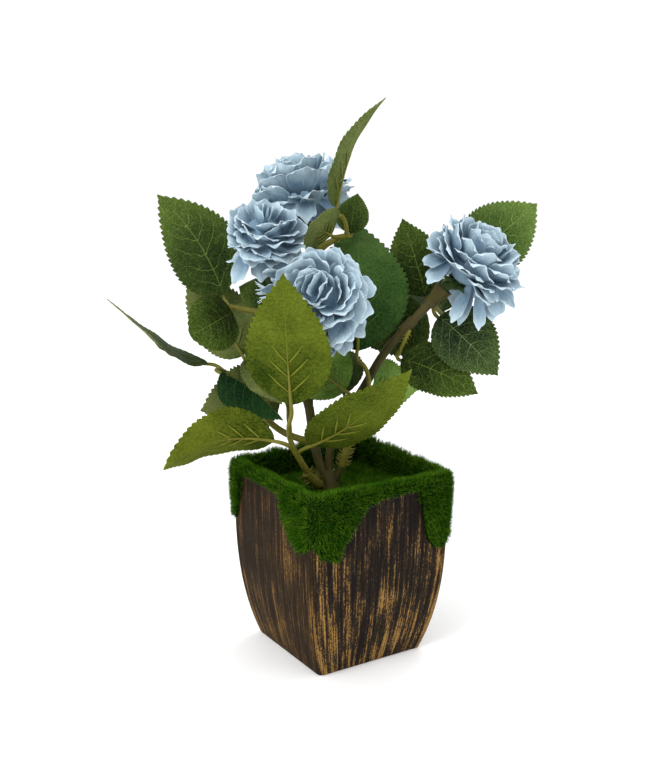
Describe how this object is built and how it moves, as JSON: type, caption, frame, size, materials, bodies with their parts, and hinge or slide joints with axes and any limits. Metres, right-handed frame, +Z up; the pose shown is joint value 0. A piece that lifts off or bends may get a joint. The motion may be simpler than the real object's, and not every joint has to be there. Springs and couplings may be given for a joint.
{
  "type": "artificial hydrangea in a square pot",
  "caption": "Artificial hydrangea with pale blue cloth blooms and toothed cloth leaves on moulded stems, standing in a mossed square wood-look pot.",
  "frame": {"origin": "middle of the pot's flat underside", "axes": "+Z up; the pot's four sides face along X and Y, and the pot's corner between -X and -Y is nearest in the picture"},
  "size_m": [0.1905, 0.1288, 0.2702],
  "materials": {
    "pot_paint": "matt dark brown with gold brush strokes",
    "filler": "matt cast filler",
    "moss": "short upright fibres",
    "stem": "matt, lightly ridged",
    "spray": "satin",
    "bloom_stalk": "satin",
    "leaf_cloth": "printed woven cloth",
    "petal_cloth": "soft dyed cloth"
  },
  "bodies": {
    "root": {"bloom_front": "petal_cloth", "bloom_left": "petal_cloth", "bloom_right": "petal_cloth", "bloom_top": "petal_cloth", "filler": "filler", "leaf_centre_back": "leaf_cloth", "leaf_centre_left": "leaf_cloth", "leaf_centre_right": "leaf_cloth", "leaf_centre_up": "leaf_cloth", "leaf_front_left": "leaf_cloth", "leaf_front_right": "leaf_cloth", "leaf_front_up": "leaf_cloth", "leaf_left_high_inner": "leaf_cloth", "leaf_left_high_round": "leaf_cloth", "leaf_left_high_up": "leaf_cloth", "leaf_left_low_back": "leaf_cloth", "leaf_left_low_dark": "leaf_cloth", "leaf_left_low_far": "leaf_cloth", "leaf_left_mid_back": "leaf_cloth", "leaf_left_mid_down": "leaf_cloth", "leaf_left_mid_pale": "leaf_cloth", "leaf_right_high_back": "leaf_cloth", "leaf_right_high_behind": "leaf_cloth", "leaf_right_high_down": "leaf_cloth", "leaf_right_high_far": "leaf_cloth", "leaf_right_high_up": "leaf_cloth", "leaf_right_low_side": "leaf_cloth", "leaf_top_behind": "leaf_cloth", "leaf_top_bent": "leaf_cloth", "leaf_top_tall": "leaf_cloth", "moss_bed": "moss", "moss_collar": "moss", "pot": "pot_paint", "spray_centre": "spray", "spray_front": "spray", "spray_left_high": "spray", "spray_left_low": "spray", "spray_left_mid": "spray", "spray_right_high": "spray", "spray_right_low": "spray", "spray_top": "spray", "stalk_front": "bloom_stalk", "stalk_left": "bloom_stalk", "stalk_right": "bloom_stalk", "stalk_top": "bloom_stalk", "stems": "stem"}
  },
  "joints": []
}
